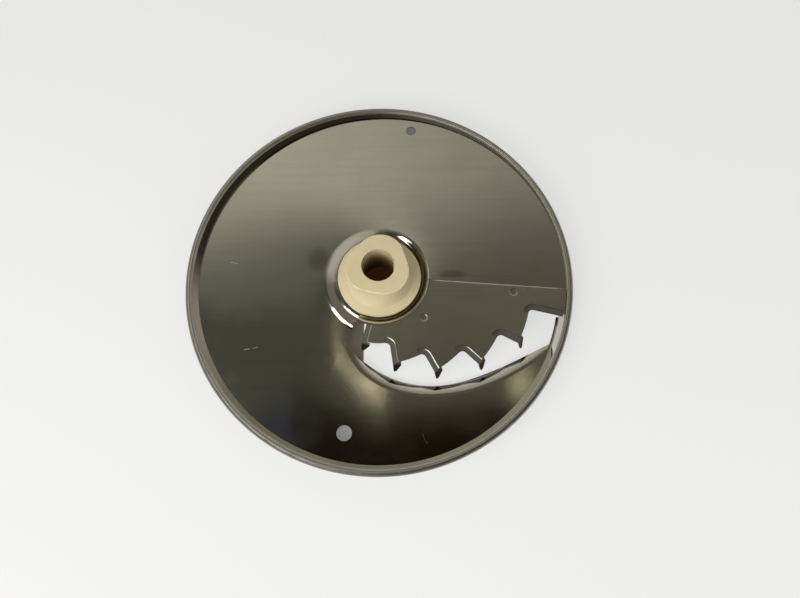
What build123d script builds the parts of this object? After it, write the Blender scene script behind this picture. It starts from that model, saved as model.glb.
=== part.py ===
# Food processor disc for cutting chips: a pressed steel ramp plate, a toothed
# steel blade welded on its ledge, and a moulded hub that carries both.
# Millimetres. +Z is up out of the working face, the hub's axis is the Z axis,
# and z = 0 is the lower edge of the rim, on which the disc rests.
# Seen from above the disc turns clockwise, so angles fall along its travel.
from build123d import *
from math import asin, atan2, cos, degrees, radians, sin, tan
import os

# Pressed plate
disc_diameter = 175.0
rim_height = 10.5
sheet = 0.8
rim_bend = 0.8
rim_width = 2.9
wall_angle = 75.0
ramp_start_angle = -4.0
ramp_end_angle = 244.5
ramp_sections = 10
rim_seam_inset = 1.64
seam_overlap = 0.02
ledge_depth = 1.0
ramp_depth = 7.0
start_bend = 0.15
end_bend = 0.8

# Level seat for the hub and the soft step from it to the floor
seat_depth = 3.4
seat_inner_radius = 9.0
seat_seam = 19.0
step_inner_radius = 19.6
step_outer_radius = 22.5
step_growth = 0.73
key_side = 12.4
key_corner = 10.8
key_core_gap = 0.5

# Slot that the cut food falls through
slot_left_top = (-10.9, -19.1)
slot_corner_radius = 34.6
slot_rim_gap = 0.72
slot_ring_radius = 23.2
landing_inner_radius = 32.0
lip_radius = 9.0
lip_sweep_angle = 52.0
rim_slot_end = 347.5

# Ledge under the blade
ledge_inner_radius = 23.5
ledge_rim_gap = 1.0
ledge_overlap = 0.5
ledge_inner_angle = -95.5

# Blade
blade_thickness = 0.8
blade_clearance = 0.8
blade_outer_gap = 0.7
back_edge_offset = 0.45
back_edge_chamfer = 0.2
tooth_pitch = 9.3
first_tooth_radius = 31.4
tooth_count = 6
first_edge_angle = -103.3
edge_step = 22.2
edge_step_loss = 2.1
root_radius = 2.0
bevel_width = 2.5
edge_land = 0.12
bevel_run_out = 0.6
bevel_overrun = 1.5
prong_width = 3.6
prong_tip_width = 0.7
prong_drop = 6.6
prong_angle = 72.0
prong_bend = 0.5
prong_root = 1.3
prong_knee = 0.5
prong_shoulder = 1.2
weld_diameter = 3.5
weld_depth = 0.25
weld_places = [(28.2, -45.0), (60.8, -7.6)]

# Hub
hub_height = 23.3
hub_bottom_gap = 0.5
hub_clearance = 0.1
flange_radius = 18.9
flange_edge = 1.0
flange_slope = 0.6
collar_radius = 17.5
neck_radius = 15.0
neck_top_radius = 13.2
cap_height = 5.6
cap_side = 12.6
cap_corner = 10.7
cap_turn = 78.0
bore_radius = 7.3
bore_flat = 6.7
hub_edge = 0.5

# Holes punched in the ramp, as radius from the axis, angle and diameter
punched_holes = [(77.4, 79.1, 5.0), (70.9, -101.8, 6.7)]

rim_radius = disc_diameter / 2
rim_inner_radius = rim_radius - rim_width
rim_seam = rim_radius - rim_seam_inset
seat_top = rim_height - seat_depth
ledge_top = rim_height - ledge_depth
ramp_bottom = rim_height - ramp_depth
slot_outer_radius = rim_inner_radius - ramp_depth / tan(radians(wall_angle)) - slot_rim_gap
ledge_outer_radius = rim_inner_radius - ledge_rim_gap
blade_top = ledge_top + blade_thickness
blade_inner_radius = step_outer_radius + blade_clearance
blade_outer_radius = rim_inner_radius - ledge_depth / tan(radians(wall_angle)) - blade_outer_gap
groove_radius = key_side - key_core_gap
bevel_slope = (blade_thickness - edge_land) / bevel_width
reach = 3 * disc_diameter


def polar(radius, angle):
    return (radius * cos(radians(angle)), radius * sin(radians(angle)))


def radial_plane(angle):
    # local x runs outwards from the axis and local y is up
    outwards = polar(1, angle)
    return Plane(
        origin=(0, 0, 0),
        x_dir=(outwards[0], outwards[1], 0),
        z_dir=(outwards[1], -outwards[0], 0),
    )


def bend_at(depth):
    share = (depth - ledge_depth) / (ramp_depth - ledge_depth)
    return start_bend + share * (end_bend - start_bend)


def soft_step(depth):
    # upper and lower line from the hub's seat to the foot of the step, whose
    # S-curve is level at both ends and moves outwards as the floor deepens
    foot = step_outer_radius + step_growth * (depth - ledge_depth)
    floor = rim_height - depth
    middle = (step_inner_radius + foot) / 2
    steepest = atan2(2 * (floor - seat_top), foot - step_inner_radius)
    shift = sheet * tan(steepest / 2)
    for across, down in ((0, 0), (shift, sheet)):
        start = (step_inner_radius + across, seat_top - down)
        Line((seat_seam - seam_overlap, seat_top - down), start)
        Bezier(
            start,
            (middle + across, seat_top - down),
            (middle + across, floor - down),
            (foot + across, floor - down),
        )
    Line((seat_seam - seam_overlap, seat_top), (seat_seam - seam_overlap, seat_top - sheet))
    return foot, foot + shift


def wall_run(depth):
    # foot of the outer wall, its shoulder at the rim, and the rim's seam
    foot = rim_inner_radius - depth / tan(radians(wall_angle))
    seam = rim_seam + seam_overlap
    return [(foot, rim_height - depth), (rim_inner_radius, rim_height), (seam, rim_height)]


def bent_run(thickness, corners, bends, under):
    # open outline of a bent strip: its upper side follows the corners, each
    # bend is given by the radius on its inner side, and the lower side, which
    # starts at under, is mitred
    upper = [Vector(*corner) for corner in corners]
    headings = [(end - start).normalized() for start, end in zip(upper, upper[1:])]
    normals = [Vector(heading.Y, -heading.X) for heading in headings]
    lower = [Vector(*under)]
    for point, before, after in zip(upper[1:], normals, normals[1:] + normals[-1:]):
        mitre = (before + after) * (thickness / (1 + before.dot(after)))
        lower.append(point + mitre)
    falls = [before.cross(after).Z < 0 for before, after in zip(headings, headings[1:])]
    FilletPolyline(*upper, radius=[bend + thickness * fall for bend, fall in zip(bends, falls)])
    Polyline(*lower)
    Line(upper[-1], lower[-1])


def strip(thickness, corners, bends):
    # closed outline of a bent strip that starts on the level
    start = corners[0]
    under = (start[0], start[1] - thickness)
    with BuildLine() as outline:
        bent_run(thickness, corners, bends, under)
        Line(start, under)
    make_face(outline.edges())


def full_section(depth):
    floor = rim_height - depth
    with BuildLine() as outline:
        foot, lower_foot = soft_step(depth)
        corners = [(foot, floor)] + wall_run(depth)
        bent_run(sheet, corners, [0, bend_at(depth)], (lower_foot, floor - sheet))
    make_face(outline.edges())


def trilobe(side, corner):
    # rounded triangle that keys the hub, with one lobe at cap_turn
    triangle = RegularPolygon(side, 3, major_radius=False, rotation=cap_turn, mode=Mode.PRIVATE)
    add(triangle.face().fillet_2d(corner, triangle.vertices()))


def edge_angle(tooth):
    # the steps between the cutting edges shorten towards the rim
    return first_edge_angle + edge_step * tooth - edge_step_loss * tooth * (tooth - 1) / 2


def back_edge_angle(radius):
    # the blade's back edge is straight, parallel to the start of the ramp
    return ramp_start_angle - degrees(asin(back_edge_offset / radius))


def ledge_sketch():
    with BuildLine() as outline:
        edge = Spline(*ledge_edge)
        Line(edge @ 1, polar(ledge_outer_radius, rim_slot_end - 360))
        CenterArc((0, 0), ledge_outer_radius, rim_slot_end - 360, ramp_start_angle + 360 - rim_slot_end)
        Line(polar(ledge_outer_radius, ramp_start_angle), polar(slot_ring_radius, ramp_start_angle))
        CenterArc((0, 0), slot_ring_radius, ramp_start_angle, ledge_inner_angle - ramp_start_angle)
    make_face(outline.edges())
    Circle(ledge_inner_radius, mode=Mode.SUBTRACT)


def slot_sketch(outer_curve, inner_line):
    # plan of the slot: its left side, the lip, the rim's wall and the ledge
    with BuildLine() as outline:
        left = Line(slot_left_top, slot_left_bottom)
        lip = Spline(*outer_curve)
        ledge = Spline(*inner_line)
        ring = Line(ledge @ 0, (0, 0))
        Line(ring @ 1, left @ 0)
        Line(lip @ 1, polar(reach, -10))
        Line(polar(reach, -10), ledge @ 1)
    make_face(outline.edges())
    Circle(slot_outer_radius, mode=Mode.INTERSECT)
    Circle(slot_ring_radius, mode=Mode.SUBTRACT)


slot_left_bottom = polar(slot_corner_radius, ramp_end_angle)

# The crease where the floor turns down into the lip, and the lip's free edge
lip_crease = [
    slot_left_bottom,
    (-7.9, -43.2),
    (7.6, -51.9),
    (25.0, -54.0),
    (53.0, -47.4),
    (75.8, -33.6),
    (83.0, -27.6),
]
lip_edge = [
    slot_left_bottom,
    (-10.2, -35.4),
    (-3.0, -40.8),
    (6.5, -45.8),
    (24.6, -48.9),
    (44.3, -44.6),
    (61.0, -37.6),
    (83.0, -27.2),
]
ledge_edge = [
    polar(slot_ring_radius, ledge_inner_angle),
    (4.0, -28.0),
    (19.0, -32.2),
    (38.0, -29.0),
    (64.5, -13.2),
    (80.8, -14.2),
]

with BuildPart() as lip:
    # a strip along the crease, bent down towards the blade
    with BuildLine() as crease:
        Spline(*lip_crease)
    start = crease.line @ 0
    ahead = crease.line % 0
    across = Plane(
        origin=(start.X, start.Y, ramp_bottom),
        x_dir=(-ahead.Y, ahead.X, 0),
        z_dir=(ahead.X, ahead.Y, 0),
    )
    with BuildSketch(across) as lip_section:
        with BuildLine():
            flat = Line((-1.0, 0), (0, 0))
            JernArc(flat @ 1, flat % 1, lip_radius, -lip_sweep_angle)
            offset(amount=sheet, side=Side.RIGHT, closed=True)
        make_face()
    sweep(path=crease.line.moved(Location((0, 0, ramp_bottom))))
    with BuildSketch(Plane.XY):
        slot_sketch(lip_edge, ledge_edge)
    extrude(amount=reach, both=True, mode=Mode.SUBTRACT)
    Cylinder(slot_outer_radius, reach, mode=Mode.INTERSECT)
    split(bisect_by=radial_plane(ramp_end_angle), keep=Keep.BOTTOM)

with BuildPart() as ramp:
    # the ramp falls from the blade's back edge round to the slot
    for step in range(ramp_sections + 1):
        share = step / ramp_sections
        angle = ramp_start_angle + share * (ramp_end_angle - ramp_start_angle)
        with BuildSketch(radial_plane(angle)):
            full_section(ledge_depth + share * (ramp_depth - ledge_depth))
    loft()

with BuildPart() as landing:
    # level floor beyond the ramp, with the deep wall, as far as the ledge
    with BuildSketch(radial_plane(ramp_end_angle)):
        strip(sheet, [(landing_inner_radius, ramp_bottom)] + wall_run(ramp_depth), [0, end_bend])
    revolve(revolution_arc=rim_slot_end - ramp_end_angle)
    with BuildSketch(Plane.XY):
        slot_sketch(lip_crease, [polar(1, ramp_start_angle), polar(reach, ramp_start_angle)])
    extrude(amount=reach, mode=Mode.SUBTRACT)
    add(lip.part)

with BuildPart() as pressed_disc:
    # level seat for the hub
    with BuildSketch(radial_plane(0)):
        with Locations((seat_inner_radius, seat_top)):
            Rectangle(seat_seam - seat_inner_radius, sheet, align=(Align.MIN, Align.MAX))
    # rim and its turned-down skirt
    with BuildSketch(radial_plane(0)):
        strip(sheet, [(rim_seam, rim_height), (rim_radius, rim_height), (rim_radius, 0)], [rim_bend])
    revolve()
    # wall of the shallow floor beside the blade, and the step there
    with BuildSketch(radial_plane(rim_slot_end)):
        strip(sheet, [(slot_outer_radius, ledge_top)] + wall_run(ledge_depth), [0, start_bend])
    revolve(revolution_arc=360 + ramp_start_angle - rim_slot_end)
    with BuildSketch(radial_plane(ramp_end_angle)):
        with BuildLine() as step_outline:
            foot, lower_foot = soft_step(ledge_depth)
            step_end = ledge_inner_radius + ledge_overlap
            Polyline(
                (foot, ledge_top),
                (step_end, ledge_top),
                (step_end, ledge_top - sheet),
                (lower_foot, ledge_top - sheet),
            )
        make_face(step_outline.edges())
    revolve(revolution_arc=360 + ramp_start_angle - ramp_end_angle)
    add(ramp.part)
    add(landing.part)
    with BuildSketch(Plane.XY):
        slot_sketch(lip_edge, ledge_edge)
    extrude(amount=reach, mode=Mode.SUBTRACT)

    # the ledge under the blade
    with BuildSketch(Plane.XY.offset(ledge_top)):
        ledge_sketch()
    extrude(amount=-sheet)

    # keyed hole for the hub and the two punched holes
    with BuildSketch(Plane.XY):
        trilobe(key_side, key_corner)
        for radius, angle, diameter in punched_holes:
            with Locations(polar(radius, angle)):
                Circle(diameter / 2)
    extrude(amount=reach, mode=Mode.SUBTRACT)
pressed_disc.part.label = "pressed_disc"

with BuildPart() as prong:
    # one cutting prong, with its tooth's corner at the origin, the outward
    # direction along +X and the tooth behind it along +Y
    heel = (-prong_root, blade_thickness)
    knee = (prong_knee, blade_thickness)
    tip = (prong_knee + prong_drop / tan(radians(prong_angle)), blade_thickness - prong_drop)
    with BuildSketch(Plane.XZ):
        strip(blade_thickness, [heel, knee, tip], [prong_bend])
    extrude(amount=-prong_width)
    with BuildSketch(Plane.YZ):
        Polygon(
            (0, 2 * blade_thickness),
            (prong_width, 2 * blade_thickness),
            (prong_width, -prong_shoulder),
            (prong_tip_width, -prong_drop),
            (0, -prong_drop),
            align=None,
        )
    extrude(amount=reach, both=True, mode=Mode.INTERSECT)

with BuildPart() as blade:
    edge_angles = [edge_angle(tooth) for tooth in range(tooth_count)]
    edge_radii = [blade_inner_radius]
    edge_radii += [first_tooth_radius + tooth_pitch * tooth for tooth in range(tooth_count - 1)]
    edge_radii += [blade_outer_radius]
    with BuildSketch(Plane.XY.offset(ledge_top)) as blank:
        with BuildLine():
            for tooth, angle in enumerate(edge_angles):
                Line(polar(edge_radii[tooth], angle), polar(edge_radii[tooth + 1], angle))
            for tooth in range(tooth_count - 1):
                turn = edge_angles[tooth + 1] - edge_angles[tooth]
                CenterArc((0, 0), edge_radii[tooth + 1], edge_angles[tooth], turn)
            outer_back = polar(blade_outer_radius, back_edge_angle(blade_outer_radius))
            inner_back = polar(blade_inner_radius, back_edge_angle(blade_inner_radius))
            CenterArc(
                (0, 0),
                blade_outer_radius,
                edge_angles[-1],
                back_edge_angle(blade_outer_radius) - edge_angles[-1],
            )
            Line(outer_back, inner_back)
            CenterArc(
                (0, 0),
                blade_inner_radius,
                edge_angles[0],
                back_edge_angle(blade_inner_radius) - edge_angles[0],
            )
        make_face()
        roots = [Vector(*polar(edge_radii[tooth], edge_angles[tooth])) for tooth in range(1, tooth_count)]
        corners = [
            vertex
            for vertex in blank.vertices()
            if any((Vector(vertex.X, vertex.Y) - root).length < sheet for root in roots)
        ]
        fillet(corners, root_radius)
    extrude(amount=blade_thickness)
    top_edges = blade.edges().group_by(Axis.Z)[-1]
    chamfer(top_edges.sort_by(SortBy.LENGTH)[-1], back_edge_chamfer)

    for tooth in range(tooth_count - 1):
        corner = polar(edge_radii[tooth + 1], edge_angles[tooth])
        with Locations(Location((corner[0], corner[1], ledge_top), (0, 0, 1), edge_angles[tooth])):
            add(prong.part)

    # each radial edge is ground to a bevel, which curls round the tooth's root
    for tooth, angle in enumerate(edge_angles):
        curl = root_radius if tooth else 0
        foot = polar(edge_radii[tooth] + curl, angle)
        centre = Vector(*foot) - Vector(*polar(root_radius, angle + 90))
        across = Plane(
            origin=(foot[0], foot[1], ledge_top),
            x_dir=(*polar(1, angle + 90), 0),
            z_dir=(*polar(1, angle), 0),
        )
        with BuildSketch(across) as bevel:
            Polygon(
                (bevel_width, blade_thickness),
                (-bevel_run_out, edge_land - bevel_run_out * bevel_slope),
                (-bevel_run_out, 2 * blade_thickness),
                (bevel_width, 2 * blade_thickness),
                align=None,
            )
        extrude(amount=edge_radii[tooth + 1] - edge_radii[tooth] - curl + bevel_overrun, mode=Mode.SUBTRACT)
        if tooth:
            revolve(
                bevel.sketch,
                axis=Axis((centre.X, centre.Y, 0), (0, 0, 1)),
                revolution_arc=90,
                mode=Mode.SUBTRACT,
            )
    # shallow dimples where the spot welder's tips pressed
    tip_radius = (weld_diameter**2 / 4 + weld_depth**2) / (2 * weld_depth)
    for radius, angle in weld_places:
        place = polar(radius, angle)
        with Locations((place[0], place[1], blade_top - weld_depth + tip_radius)):
            Sphere(tip_radius, mode=Mode.SUBTRACT)
blade.part.label = "toothed_blade"

with BuildPart() as hub:
    # turned form: collar under the sheet, flange, neck
    under = seat_top - sheet
    flange_top = seat_top + flange_edge
    with BuildSketch(Plane.XZ):
        with BuildLine():
            Polyline(
                (0, hub_bottom_gap),
                (collar_radius, hub_bottom_gap),
                (collar_radius, under),
                (groove_radius, under),
                (groove_radius, seat_top),
                (flange_radius, seat_top),
                (flange_radius, flange_top),
                (neck_radius, flange_top + flange_slope),
                (neck_top_radius, hub_height - cap_height),
                (0, hub_height - cap_height),
                close=True,
            )
        make_face()
    revolve()
    with BuildSketch(Plane.XY.offset(under)):
        trilobe(key_side - hub_clearance, key_corner - hub_clearance)
    extrude(amount=sheet)
    with BuildSketch(Plane.XY.offset(hub_height - cap_height)):
        trilobe(cap_side, cap_corner)
    extrude(amount=cap_height)
    fillet(hub.faces().sort_by(Axis.Z)[-1].edges(), hub_edge)
    with BuildSketch(Plane.XY):
        Circle(bore_radius)
        with Locations((bore_flat, 0)):
            Rectangle(bore_radius, 2 * bore_radius, align=(Align.MIN, Align.CENTER), mode=Mode.SUBTRACT)
    extrude(amount=hub_height, mode=Mode.SUBTRACT)
hub.part.label = "drive_hub"

os.makedirs("parts", exist_ok=True)
export_step(pressed_disc.part, "parts/pressed_disc.step")
export_step(blade.part, "parts/toothed_blade.step")
export_step(hub.part, "parts/drive_hub.step")
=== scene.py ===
import bmesh
import bpy
from math import radians
from mathutils import Matrix, Vector

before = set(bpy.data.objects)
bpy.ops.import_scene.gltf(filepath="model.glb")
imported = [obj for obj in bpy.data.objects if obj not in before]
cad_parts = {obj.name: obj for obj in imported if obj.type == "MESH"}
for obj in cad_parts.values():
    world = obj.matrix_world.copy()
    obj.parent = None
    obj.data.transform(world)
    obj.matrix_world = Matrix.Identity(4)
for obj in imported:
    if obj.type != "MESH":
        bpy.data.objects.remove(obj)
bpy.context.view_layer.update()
scene = bpy.context.scene
scene.view_settings.view_transform = "Standard"


# Pressed disc: stainless sheet, about 0.8 mm thick, rolled to a near mirror
# with a faint straight grain, then pressed. Use has left a few fine scratches
# and dull smears on it. Shade is painted into the rim's pressed line and the
# groove beside the hub, and dark reflections in two patches.
polished_steel = (0.60, 0.585, 0.53)
smeared_steel = (0.575, 0.56, 0.505)
scraped_steel = (0.86, 0.84, 0.78)
dulled_steel = (0.38, 0.36, 0.31)
press_line_shade_colour = (0.20, 0.18, 0.14)
groove_shade_colour = (0.17, 0.15, 0.11)
dark_reflection_colour = (0.15, 0.15, 0.10)
# roughness from clean to smeared, and what grain, scratches and the rubbed bend add to it
smear_roughness = (0.07, 0.10)
grain_dulling = 0.03
scratch_dulling = 0.20
bend_dulling = 0.36
# how often patterns repeat along the grain and across it
grain_rate = (35.0, 2600.0)
streak_rate = (9.0, 420.0)
grain_depth = 0.00002
# radii between which these parts of the disc begin or end, and the outer face's heights
groove_edge = (0.0213, 0.0222)
dull_bend = (0.0841, 0.0847)
outer_face = (0.0855, 0.0862)
outer_face_height = (0.0080, 0.0096)
# the way from the hub to the blade, and how far along it the painted shade starts
to_blade = (0.87, -0.49, 0.0)
groove_shade_start = (0.0, 0.006)
# the line pressed in the rim: its radius, its depth, and how far its groove and its painted shade reach
press_line_radius = 0.0853
press_line_depth = 0.00010
press_line_reach = 0.00035
press_line_shade_reach = (0.0001, 0.0003)
# the ramp's slope fades out over the easing angle, from a drop of so much for each radian
ramp_end = radians(64.5)
easing_angle = 0.45
ramp_drop = 0.001385
# each scratch from start to end, and its width
scratch_lines = (
    ((-0.0603, -0.0332), (-0.0574, -0.0327), 0.00018),
    ((-0.0566, -0.0325), (-0.0538, -0.0319), 0.00016),
    ((0.0190, -0.0694), (0.0200, -0.0722), 0.00014),
    ((0.0200, -0.0722), (0.0213, -0.0738), 0.00014),
    ((-0.0690, 0.0079), (-0.0655, 0.0074), 0.00016),
    ((-0.0412, 0.0517), (-0.0330, 0.0530), 0.00010),
    ((0.0302, 0.0415), (0.0391, 0.0421), 0.00010),
)
# each painted dark reflection's x and y, how much shorter it is along Y, its reach and its strength
dark_reflections = (
    (0.0330, 0.0008, 3.2, 0.0095, 0.44),
    (-0.0283, 0.0095, 1.0, 0.0080, 0.47),
)
dark_reflection_heart = 0.002


def new_material(name):
    # also gives its nodes, its shader and the place on the piece that patterns follow
    material = bpy.data.materials.new(name)
    material.use_nodes = True
    tree = material.node_tree
    place = tree.nodes.new("ShaderNodeTexCoord").outputs["Object"]
    return material, tree, tree.nodes["Principled BSDF"], place


def add_node(tree, kind, inputs, **settings):
    # an input is another node's output, which is linked, or a plain value
    made = tree.nodes.new(kind)
    for key, value in settings.items():
        setattr(made, key, value)
    for key, value in inputs.items():
        if hasattr(value, "is_linked"):
            tree.links.new(value, made.inputs[key])
        else:
            made.inputs[key].default_value = value
    return made


def maths(tree, operation, first, *others):
    # with more than two values the result goes on to the next one
    for other in others or (0.0,):
        first = add_node(tree, "ShaderNodeMath", {0: first, 1: other}, operation=operation).outputs[0]
    return first


def limited(tree, value, low, high):
    return maths(tree, "MINIMUM", maths(tree, "MAXIMUM", value, low), high)


def soft_step(tree, value, low, high, low_value=0.0, high_value=1.0):
    inputs = {"Value": value, "From Min": low, "From Max": high, "To Min": low_value, "To Max": high_value}
    return add_node(tree, "ShaderNodeMapRange", inputs, interpolation_type="SMOOTHERSTEP").outputs[0]


def blended(tree, under, over, share):
    # the colour over covers the colour under by this share
    a, b = (value if hasattr(value, "is_linked") else (*value, 1.0) for value in (under, over))
    made = add_node(tree, "ShaderNodeMix", {"Factor": share, "A": a, "B": b}, data_type="RGBA")
    return made.outputs[2]


def vector_maths(tree, operation, place, other):
    made = add_node(tree, "ShaderNodeVectorMath", {0: place, 1: other}, operation=operation)
    return made.outputs["Value" if operation in ("DOT_PRODUCT", "DISTANCE") else "Vector"]


def distance_to(tree, place, x=0.0, y=0.0, squash=1.0):
    # distance from a point, or from the hub's axis, as seen from above
    flat = vector_maths(tree, "MULTIPLY", place, (1.0, squash, 0.0))
    return vector_maths(tree, "DISTANCE", flat, (x, y * squash, 0.0))


def noise(tree, place, scale, detail, roughness=0.5, distortion=0.0):
    inputs = {"Vector": place, "Scale": scale, "Detail": detail}
    inputs.update({"Roughness": roughness, "Distortion": distortion})
    return add_node(tree, "ShaderNodeTexNoise", inputs).outputs["Fac"]


def drawn_out(tree, place, along, across):
    # a place for patterns that are long in X and thin across it
    return add_node(tree, "ShaderNodeMapping", {"Vector": place, "Scale": (along, across, across)}).outputs[0]


def fine_line(tree, place, start, end, width):
    # 1 along the straight line from start to end, seen from above, and 0 off it
    along = Vector(end) - Vector(start)
    length = along.length
    along.normalize()
    apart = vector_maths(tree, "SUBTRACT", place, (*start, 0.0))
    run = vector_maths(tree, "DOT_PRODUCT", apart, (along.x, along.y, 0.0))
    aside = vector_maths(tree, "DOT_PRODUCT", apart, (-along.y, along.x, 0.0))
    from_middle = maths(tree, "ABSOLUTE", maths(tree, "SUBTRACT", run, length / 2))
    within = soft_step(tree, from_middle, length * 0.42, length / 2, 1.0, 0.0)
    near = soft_step(tree, maths(tree, "ABSOLUTE", aside), width * 0.3, width, 1.0, 0.0)
    return maths(tree, "MULTIPLY", within, near)


def rolled_grain(tree, shader, place, strength, formed=None):
    # straight rolling grain: noise drawn out along X as a bump, and the gloss stretched across it
    grain = noise(tree, drawn_out(tree, place, *grain_rate), 1.0, 4.0, 0.6)
    bump = add_node(tree, "ShaderNodeBump", {"Strength": strength, "Distance": grain_depth, "Height": grain})
    if formed:
        tree.links.new(formed.outputs[0], bump.inputs["Normal"])
    across = add_node(tree, "ShaderNodeCombineXYZ", {"Y": 1.0})
    tree.links.new(bump.outputs[0], shader.inputs["Normal"])
    tree.links.new(across.outputs[0], shader.inputs["Tangent"])
    return grain


def cover(node, material):
    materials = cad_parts[node].data.materials
    materials.clear()
    materials.append(material)


disc_steel, tree, shader, place = new_material("polished_stainless_sheet")
shader.inputs["Metallic"].default_value = 1.0
shader.inputs["Anisotropic"].default_value = 0.7
parts = add_node(tree, "ShaderNodeSeparateXYZ", {0: place}).outputs
from_axis = distance_to(tree, place)

# the ramp runs out into its landing without a crease, and the rim has a fine pressed line
flipped = [maths(tree, "MULTIPLY", parts[axis], -1.0) for axis in "YX"]
turned = maths(tree, "ARCTAN2", *flipped)
past = limited(tree, maths(tree, "SUBTRACT", turned, ramp_end), 0.0, easing_angle)
eased = maths(tree, "SUBTRACT", past, maths(tree, "MULTIPLY", past, past, 0.5 / easing_angle))
beside_line = maths(tree, "ABSOLUTE", maths(tree, "SUBTRACT", from_axis, press_line_radius))
pressed = soft_step(tree, beside_line, 0.0, press_line_reach, -press_line_depth, 0.0)
relief = maths(tree, "ADD", maths(tree, "MULTIPLY", eased, -ramp_drop), pressed)
formed = add_node(tree, "ShaderNodeBump", {"Strength": 1.0, "Distance": 1.0, "Height": relief})
grain = rolled_grain(tree, shader, place, 0.15, formed)

# smears, scratches and the rubbed outer bend of the rim are duller than the rest
smears = noise(tree, place, 38.0, 5.0, 0.55, 0.6)
scratches = maths(tree, "MAXIMUM", *[fine_line(tree, place, *line) for line in scratch_lines])
roughness = maths(
    tree,
    "ADD",
    soft_step(tree, smears, 0.42, 0.72, *smear_roughness),
    maths(tree, "MULTIPLY", grain, grain_dulling),
    maths(tree, "MULTIPLY", scratches, scratch_dulling),
    soft_step(tree, from_axis, *dull_bend, 0.0, bend_dulling),
)
tree.links.new(roughness, shader.inputs["Roughness"])

# faint streaks along the grain, and painted shade in the groove beside the hub, on the blade's side
streaks = noise(tree, drawn_out(tree, place, *streak_rate), 1.0, 3.0)
streaked = soft_step(tree, maths(tree, "ADD", smears, streaks), 0.80, 1.20)
colour = blended(tree, polished_steel, smeared_steel, streaked)
groove_shade = soft_step(tree, vector_maths(tree, "DOT_PRODUCT", place, to_blade), *groove_shade_start)
groove_shade = maths(tree, "MULTIPLY", soft_step(tree, from_axis, *groove_edge, 1.0, 0.0), groove_shade)
colour = blended(tree, colour, groove_shade_colour, groove_shade)
# painted dark reflections behind the blade's inner end and left of the hub
for x, y, squash, reach, strength in dark_reflections:
    reflection_darkened = soft_step(tree, distance_to(tree, place, x, y, squash), dark_reflection_heart, reach, strength, 0.0)
    colour = blended(tree, colour, dark_reflection_colour, reflection_darkened)
colour = blended(tree, colour, scraped_steel, maths(tree, "MULTIPLY", scratches, 0.4))
# the rim's pressed line is darkened with painted shade, and its face outside the line is grey
line_shade = soft_step(tree, beside_line, *press_line_shade_reach, 0.75, 0.0)
colour = blended(tree, colour, press_line_shade_colour, line_shade)
outside = soft_step(tree, from_axis, *outer_face)
outside = maths(tree, "MULTIPLY", outside, soft_step(tree, parts["Z"], *outer_face_height))
colour = blended(tree, colour, dulled_steel, outside)
tree.links.new(colour, shader.inputs["Base Color"])
cover("pressed_disc", disc_steel)


# Toothed blade: flat stainless plate with a satin face and ground edges, spot
# welded on the disc's ledge. Its back edge carries a painted highlight, and its
# bent prongs are darkened with painted shade.
satin_steel = (0.63, 0.616, 0.55)
back_edge_highlight = (1.0, 0.98, 0.94)
ground_steel = (0.36, 0.35, 0.30)
prong_shade = (0.10, 0.08, 0.055)
satin_roughness = (0.16, 0.24)
edge_highlight_dulling = 0.45
ground_roughness = 0.80
# the back edge from start to end, and its width
back_edge = ((0.0231, -0.0022), (0.0833, -0.0064), 0.00055)
# heights below which the bevels and then the prongs lie
bevel_height = (0.01018, 0.01028)
prong_height = (0.0087, 0.0101)

blade_steel, tree, shader, place = new_material("satin_stainless_blade")
shader.inputs["Metallic"].default_value = 1.0
shader.inputs["Anisotropic"].default_value = 0.6
grain = rolled_grain(tree, shader, place, 0.2)
height = add_node(tree, "ShaderNodeSeparateXYZ", {0: place}).outputs["Z"]
# a painted highlight along the back edge's top, which is also a little rougher
edge_highlight = fine_line(tree, place, *back_edge)
satin = soft_step(tree, grain, 0.3, 0.7, *satin_roughness)
roughness = maths(tree, "ADD", satin, maths(tree, "MULTIPLY", edge_highlight, edge_highlight_dulling))
ground = soft_step(tree, height, *bevel_height, ground_roughness, 0.0)
tree.links.new(maths(tree, "MAXIMUM", roughness, ground), shader.inputs["Roughness"])
colour = blended(tree, satin_steel, back_edge_highlight, edge_highlight)
colour = blended(tree, colour, ground_steel, soft_step(tree, height, *bevel_height, 1.0, 0.0))
# the bent prongs below the bevels are darkened with painted shade
colour = blended(tree, colour, prong_shade, soft_step(tree, height, *prong_height, 1.0, 0.0))
tree.links.new(colour, shader.inputs["Base Color"])
cover("toothed_blade", blade_steel)


# Drive hub: cream plastic, injection moulded in one piece and pushed through
# the keyed hole of the disc. Its bore is painted with brown shade, darker
# further down, and its flange has a nick.
cream = (0.63, 0.54, 0.34)
darker_cream = (0.61, 0.515, 0.32)
bore_shade_brown = (0.24, 0.135, 0.045)
hub_roughness = (0.30, 0.33)
mottle_rate = 160.0
grit_rate = 900.0
grit_depth = 0.00010
bore_wall = (0.00725, 0.00745)
bore_height = (0.006, 0.0225)
# the nick from start to end and its width, and its depth in grains of grit
nick_line = ((-0.0068, -0.0150), (-0.0080, -0.0190), 0.0004)
nick_depth = 4.0

hub_plastic, tree, shader, place = new_material("cream_moulded_plastic")
height = add_node(tree, "ShaderNodeSeparateXYZ", {0: place}).outputs["Z"]
mottle = noise(tree, place, mottle_rate, 3.0)
tree.links.new(soft_step(tree, mottle, 0.3, 0.7, *hub_roughness), shader.inputs["Roughness"])
colour = blended(tree, cream, darker_cream, soft_step(tree, mottle, 0.35, 0.65))
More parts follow.
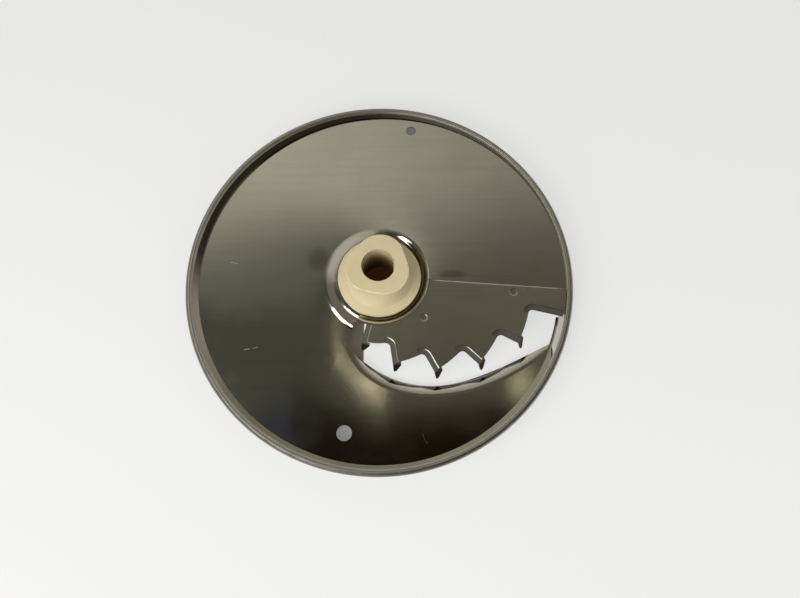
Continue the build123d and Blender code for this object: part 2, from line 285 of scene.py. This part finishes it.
# painted shade in the bore: brown, and darker further down
in_bore = soft_step(tree, distance_to(tree, place), *bore_wall, 1.0, 0.0)
bore_shaded = maths(tree, "MULTIPLY", in_bore, soft_step(tree, height, *bore_height, 1.0, 0.25))
colour = blended(tree, colour, bore_shade_brown, bore_shaded)
tree.links.new(colour, shader.inputs["Base Color"])
nick = maths(tree, "MULTIPLY", fine_line(tree, place, *nick_line), nick_depth)
grit = maths(tree, "SUBTRACT", noise(tree, place, grit_rate, 2.0), nick)
skin = add_node(tree, "ShaderNodeBump", {"Strength": 0.25, "Distance": grit_depth, "Height": grit})
tree.links.new(skin.outputs[0], shader.inputs["Normal"])
cover("drive_hub", hub_plastic)


# Floor: plain and pale. Under the disc it lies in shade, but for what shows
# through the slot, the bore and the two holes.
floor_reach = 2.5
pale_light = (1.0, 1.0, 1.0)
bore_light = (1.0, 0.42, 0.12)
slot_end_light = (1.0, 0.78, 0.60)
floor_light = 0.60
bore_share = 0.03
slot_end_share = 0.12
# the paint's grey from deep shade to open floor, and how much of it is left under the hub
paint_grey = (0.05, 0.24)
under_hub = (0.012, 0.022)
hub_shade = 0.05
# radii between which the disc's and the hub's cover end, and the x that parts the slot from its end
disc_cover = (0.0868, 0.0872)
hub_cover = (0.014, 0.017)
slot_side = (-0.0075, -0.0065)
# each spot's x and y, and the radii between which it fades
slot_spot = (0.038, -0.032, 0.046, 0.048)
slot_end_spot = (-0.0120, -0.0260, 0.0125, 0.0145)
bore_spot = (0.0, 0.0, 0.010, 0.012)
# each hole's x and y, and the share of the light that shows in it
holes = ((-0.0145, -0.0694, 0.34), (0.0146, 0.0760, 0.22))
hole_fade = (0.008, 0.010)


def spot(tree, place, x, y, full, none, strength=1.0):
    return soft_step(tree, distance_to(tree, place, x, y), full, none, strength, 0.0)


floor_mesh = bpy.data.meshes.new("studio_floor")
square = bmesh.new()
bmesh.ops.create_grid(square, x_segments=1, y_segments=1, size=floor_reach)
square.to_mesh(floor_mesh)
square.free()
floor = bpy.data.objects.new("studio_floor", floor_mesh)
scene.collection.objects.link(floor)
floor_paint, tree, shader, place = new_material("pale_floor")
shader.inputs["Roughness"].default_value = 1.0
shader.inputs["Specular IOR Level"].default_value = 0.0
across = add_node(tree, "ShaderNodeSeparateXYZ", {0: place}).outputs["X"]
away = distance_to(tree, place)
clear_of_disc = soft_step(tree, away, *disc_cover)
behind_slot = maths(
    tree,
    "MULTIPLY",
    spot(tree, place, *slot_spot),
    soft_step(tree, across, *slot_side),
    soft_step(tree, away, *hub_cover),
)
slot_end = spot(tree, place, *slot_end_spot)
slot_end = maths(tree, "MULTIPLY", slot_end, soft_step(tree, across, *slot_side, 1.0, 0.0))
in_bore = spot(tree, place, *bore_spot)
glow = maths(
    tree,
    "MAXIMUM",
    clear_of_disc,
    behind_slot,
    *[spot(tree, place, x, y, *hole_fade, share) for x, y, share in holes],
    maths(tree, "MULTIPLY", in_bore, bore_share),
    maths(tree, "MULTIPLY", slot_end, slot_end_share),
)
# the floor glows for the camera and in reflections alone, and lights nothing
ray = tree.nodes.new("ShaderNodeLightPath").outputs
seen = maths(tree, "MAXIMUM", *[ray[f"Is {kind} Ray"] for kind in ("Camera", "Glossy", "Transmission")])
tree.links.new(maths(tree, "MULTIPLY", seen, glow, floor_light), shader.inputs["Emission Strength"])
light = blended(tree, blended(tree, pale_light, bore_light, in_bore), slot_end_light, slot_end)
tree.links.new(light, shader.inputs["Emission Color"])
# its paint darkens into the shade, and most of all under the hub
shade = maths(tree, "MAXIMUM", clear_of_disc, maths(tree, "MULTIPLY", glow, 0.8))
shade = soft_step(tree, shade, 0.0, 0.8, *paint_grey)
grey = maths(tree, "MULTIPLY", shade, soft_step(tree, away, *under_hub, hub_shade, 1.0))
grey = add_node(tree, "ShaderNodeCombineColor", {0: grey, 1: grey, 2: grey}).outputs[0]
tree.links.new(grey, shader.inputs["Base Color"])
floor_mesh.materials.append(floor_paint)


# Room: what the steel reflects. Its ceiling brightens towards the back and is
# dark straight above the disc, with a small pale patch on either side of that.
# The wall at the back is pale, the left one half lit and the right one dark.
ceiling_left = (0.072, 0.073, 0.054)
ceiling_right = (0.117, 0.110, 0.080)
shelf_left = (0.160, 0.158, 0.122)
lit_left = (0.60, 0.58, 0.49)
lit_right = (0.328, 0.295, 0.249)
blue_dark = (0.036, 0.038, 0.052)
brown_dark = (0.010, 0.005, 0.002)
right_wall = (0.045, 0.040, 0.030)
left_wall = (0.20, 0.185, 0.15)
back_wall = (0.62, 0.60, 0.55)
low_wall = (0.32, 0.30, 0.25)
wall_foot = (0.70, 0.69, 0.66)
# where these begin or end, on a ceiling that is flat and one unit up
right_half = (-0.16, 0.0)
shelf_front = (0.180, 0.200)
shelf_right = (-0.13, -0.09)
shelf_slant = 0.22
blue_dark_left = (-0.24, -0.19)
blue_dark_back = (0.075, 0.110)
brown_dark_left = (-0.155, -0.140)
brown_dark_back = (0.096, 0.120)
brown_dark_slant = 0.1
# the lit ceiling's colour turns over this width from its left end, and its front edge
# lies in front of and behind a middle, on the left and on the right
lit_left_end = -0.35
lit_width = 0.6
lit_middle = (0.41, 0.51)
lit_middle_turn = (-0.16, 0.02)
lit_fade, lit_fade_growth = 0.14, 0.65
# each pale patch's place and half size on that ceiling, and its colour
pale_patches = (
    (-0.040, 0.150, 0.015, 0.0100, (3.80, 3.43, 2.35)),
    (0.198, 0.158, 0.032, 0.027, (0.85, 0.78, 0.52)),
)
# the walls by how far a direction points to the right, to the back and up
left_wall_end = (-0.45, 0.15)
back_wall_start = (0.10, 0.50)
wall_foot_top = (0.06, 0.16)
low_wall_top = (0.20, 0.42)
wall_top = (0.62, 0.84)
flattest = 0.05

world = bpy.data.worlds.new("studio")
world.use_nodes = True
tree = world.node_tree
direction = tree.nodes.new("ShaderNodeTexCoord").outputs["Generated"]
parts = add_node(tree, "ShaderNodeSeparateXYZ", {0: direction}).outputs
upwards = maths(tree, "MAXIMUM", parts["Z"], flattest)
ceiling_x = maths(tree, "DIVIDE", parts["X"], upwards)
ceiling_y = maths(tree, "DIVIDE", parts["Y"], upwards)

# a paler shelf on the left, and the lit back of the ceiling, further off and softer at the sides
slanted = maths(tree, "ADD", ceiling_y, maths(tree, "MULTIPLY", ceiling_x, shelf_slant))
on_left = soft_step(tree, ceiling_x, *shelf_right, 1.0, 0.0)
shelf = maths(tree, "MULTIPLY", soft_step(tree, slanted, *shelf_front), on_left)
ceiling = blended(tree, ceiling_left, shelf_left, shelf)
ceiling = blended(tree, ceiling, ceiling_right, soft_step(tree, ceiling_x, *right_half))
to_right = maths(tree, "DIVIDE", maths(tree, "ADD", ceiling_x, -lit_left_end), lit_width)
lit = blended(tree, lit_left, lit_right, limited(tree, to_right, 0.0, 1.0))
middle = soft_step(tree, ceiling_x, *lit_middle_turn, *lit_middle)
sideways = maths(tree, "MULTIPLY", maths(tree, "ABSOLUTE", ceiling_x), lit_fade_growth)
fade = maths(tree, "ADD", lit_fade, sideways)
rise = maths(tree, "DIVIDE", maths(tree, "SUBTRACT", ceiling_y, middle), fade)
ceiling = blended(tree, ceiling, lit, soft_step(tree, rise, -0.5, 0.5))
# the dark straight above: bluish at its edge, nearly black inside
bluish = soft_step(tree, ceiling_x, *blue_dark_left)
bluish = maths(tree, "MULTIPLY", bluish, soft_step(tree, ceiling_y, *blue_dark_back, 1.0, 0.0))
ceiling = blended(tree, ceiling, blue_dark, bluish)
lowered = maths(tree, "MULTIPLY", maths(tree, "MAXIMUM", ceiling_x, 0.0), brown_dark_slant)
lowered = maths(tree, "SUBTRACT", ceiling_y, lowered)
above = soft_step(tree, ceiling_x, *brown_dark_left)
above = maths(tree, "MULTIPLY", above, soft_step(tree, lowered, *brown_dark_back, 1.0, 0.0))
ceiling = blended(tree, ceiling, brown_dark, above)
for x, y, half_x, half_y, colour in pale_patches:
    across = maths(tree, "DIVIDE", maths(tree, "SUBTRACT", ceiling_x, x), half_x)
    along = maths(tree, "DIVIDE", maths(tree, "SUBTRACT", ceiling_y, y), half_y)
    squares = [maths(tree, "MULTIPLY", offset, offset) for offset in (across, along)]
    apart = maths(tree, "ADD", *squares)
    ceiling = blended(tree, ceiling, colour, soft_step(tree, apart, 0.0, 1.0, 1.0, 0.0))
# the walls darken downwards, and are pale again at their foot
walls = blended(tree, right_wall, left_wall, soft_step(tree, parts["X"], *left_wall_end, 1.0, 0.0))
walls = blended(tree, walls, back_wall, soft_step(tree, parts["Y"], *back_wall_start))
walls = blended(tree, low_wall, walls, soft_step(tree, parts["Z"], *low_wall_top))
walls = blended(tree, wall_foot, walls, soft_step(tree, parts["Z"], *wall_foot_top))
room = blended(tree, walls, ceiling, soft_step(tree, parts["Z"], *wall_top))
tree.links.new(room, tree.nodes["Background"].inputs["Color"])
scene.world = world


# Lamps: a soft one at the front left, a weaker one at the front right that fills
# its shadows, and a window pane high on the left that the steel reflects.
# Each has its place, its two sides, its watts and whether the steel reflects it.
for name, lamp_place, sides, watts, reflected in (
    ("soft_lamp", (-0.40, -0.42, 0.36), (0.60, 0.45), 4.6, False),
    ("fill_lamp", (0.45, -0.35, 0.35), (0.5, 0.5), 1.6, False),
    ("window_pane", (-0.94, -0.60, 2.13), (1.0, 1.0), 11.0, True),
):
    lamp_data = bpy.data.lights.new(name, "AREA")
    lamp_data.shape = "RECTANGLE"
    lamp_data.size, lamp_data.size_y = sides
    lamp_data.energy = watts
    lamp = bpy.data.objects.new(name, lamp_data)
    lamp.location = lamp_place
    lamp.rotation_euler = Vector(lamp_place).to_track_quat("Z", "Y").to_euler()
    lamp.visible_glossy = reflected
    scene.collection.objects.link(lamp)


# Camera: close above the disc and a little in front of it, at the photograph's
# viewing angle, with its right side along X.
camera_place = (0.01054, -0.08920, 0.26626)
camera_right = Vector((0.99999, 0.00122, -0.0040)).normalized()
camera_forward = Vector((-0.00418, 0.29102, -0.95671)).normalized()
sensor_width = 36.0
focal_length = 27.0

camera_data = bpy.data.cameras.new("camera")
camera_data.sensor_width = sensor_width
camera_data.lens = focal_length
camera = bpy.data.objects.new("camera", camera_data)
camera_up = camera_right.cross(camera_forward).normalized()
camera_right = camera_forward.cross(camera_up).normalized()
turn = Matrix((camera_right, camera_up, -camera_forward)).transposed()
camera.matrix_world = Matrix.Translation(camera_place) @ turn.to_4x4()
scene.collection.objects.link(camera)
scene.camera = camera
